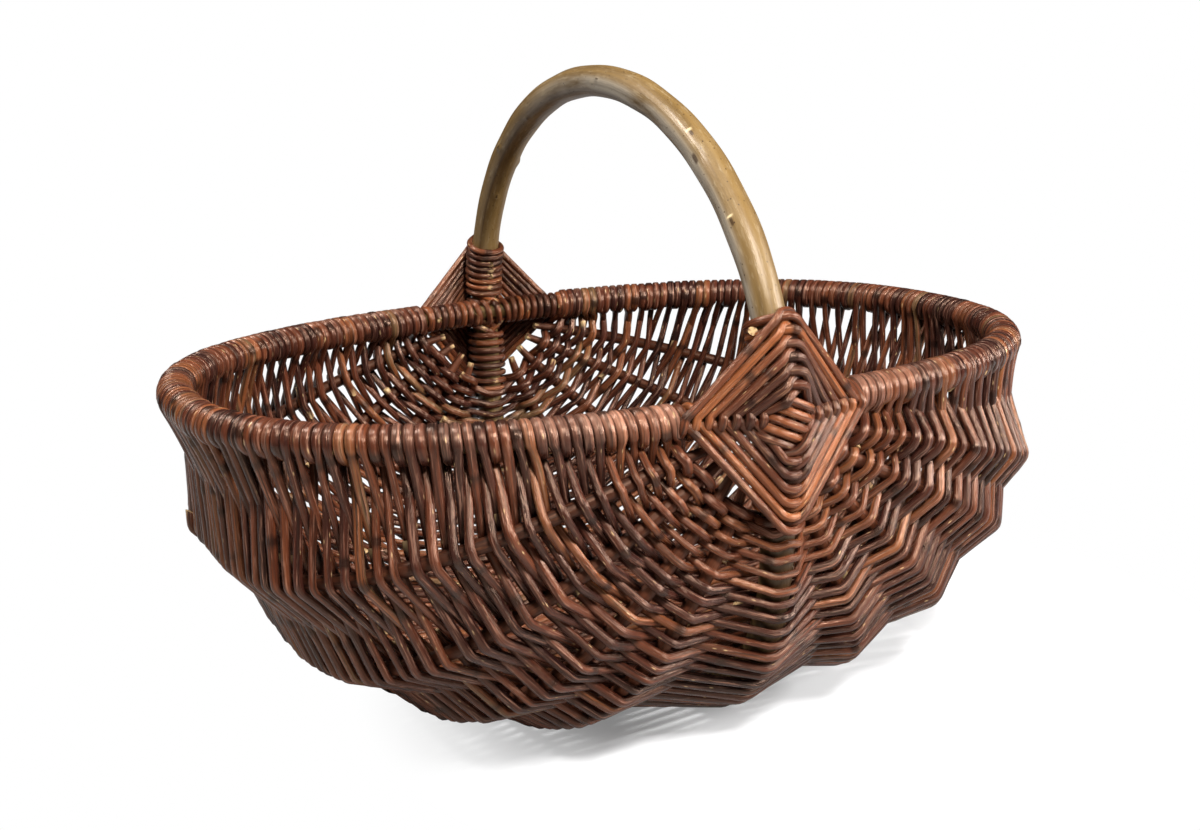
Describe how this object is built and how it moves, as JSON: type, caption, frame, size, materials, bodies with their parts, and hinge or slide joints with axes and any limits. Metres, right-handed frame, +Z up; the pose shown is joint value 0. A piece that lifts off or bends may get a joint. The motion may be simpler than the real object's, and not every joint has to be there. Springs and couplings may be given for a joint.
{
  "type": "rib basket",
  "caption": "Oval willow rib basket with a round bow handle, diamond lashings where the hoops cross and a woven bowl, for shopping and gathering.",
  "frame": {"origin": "on the ground, under the middle of the basket", "axes": "+X along the rim's long axis, +Y from the front lashing to the back one, +Z up"},
  "size_m": [0.602, 0.4662, 0.4183],
  "materials": {
    "handle_willow": "barked willow rod, olive tan with knots, satin",
    "frame_willow": "boiled willow rod, brown, matt",
    "lashing_willow": "boiled willow rod, orange brown, satin",
    "weave_willow": "boiled willow rods, dark reddish brown, satin"
  },
  "bodies": {
    "root": {"handle_hoop": "handle_willow", "rim_hoop": "frame_willow", "rib_left_1": "frame_willow", "rib_left_2": "frame_willow", "rib_left_3": "frame_willow", "rib_left_4": "frame_willow", "rib_right_1": "frame_willow", "rib_right_2": "frame_willow", "rib_right_3": "frame_willow", "rib_right_4": "frame_willow", "lashing_front": "lashing_willow", "lashing_back": "lashing_willow", "weave_front_1": "weave_willow", "weave_front_2": "weave_willow", "weave_front_3": "weave_willow", "weave_front_4": "weave_willow", "weave_back_4": "weave_willow", "weave_back_3": "weave_willow", "weave_back_2": "weave_willow", "weave_back_1": "weave_willow"}
  },
  "joints": []
}
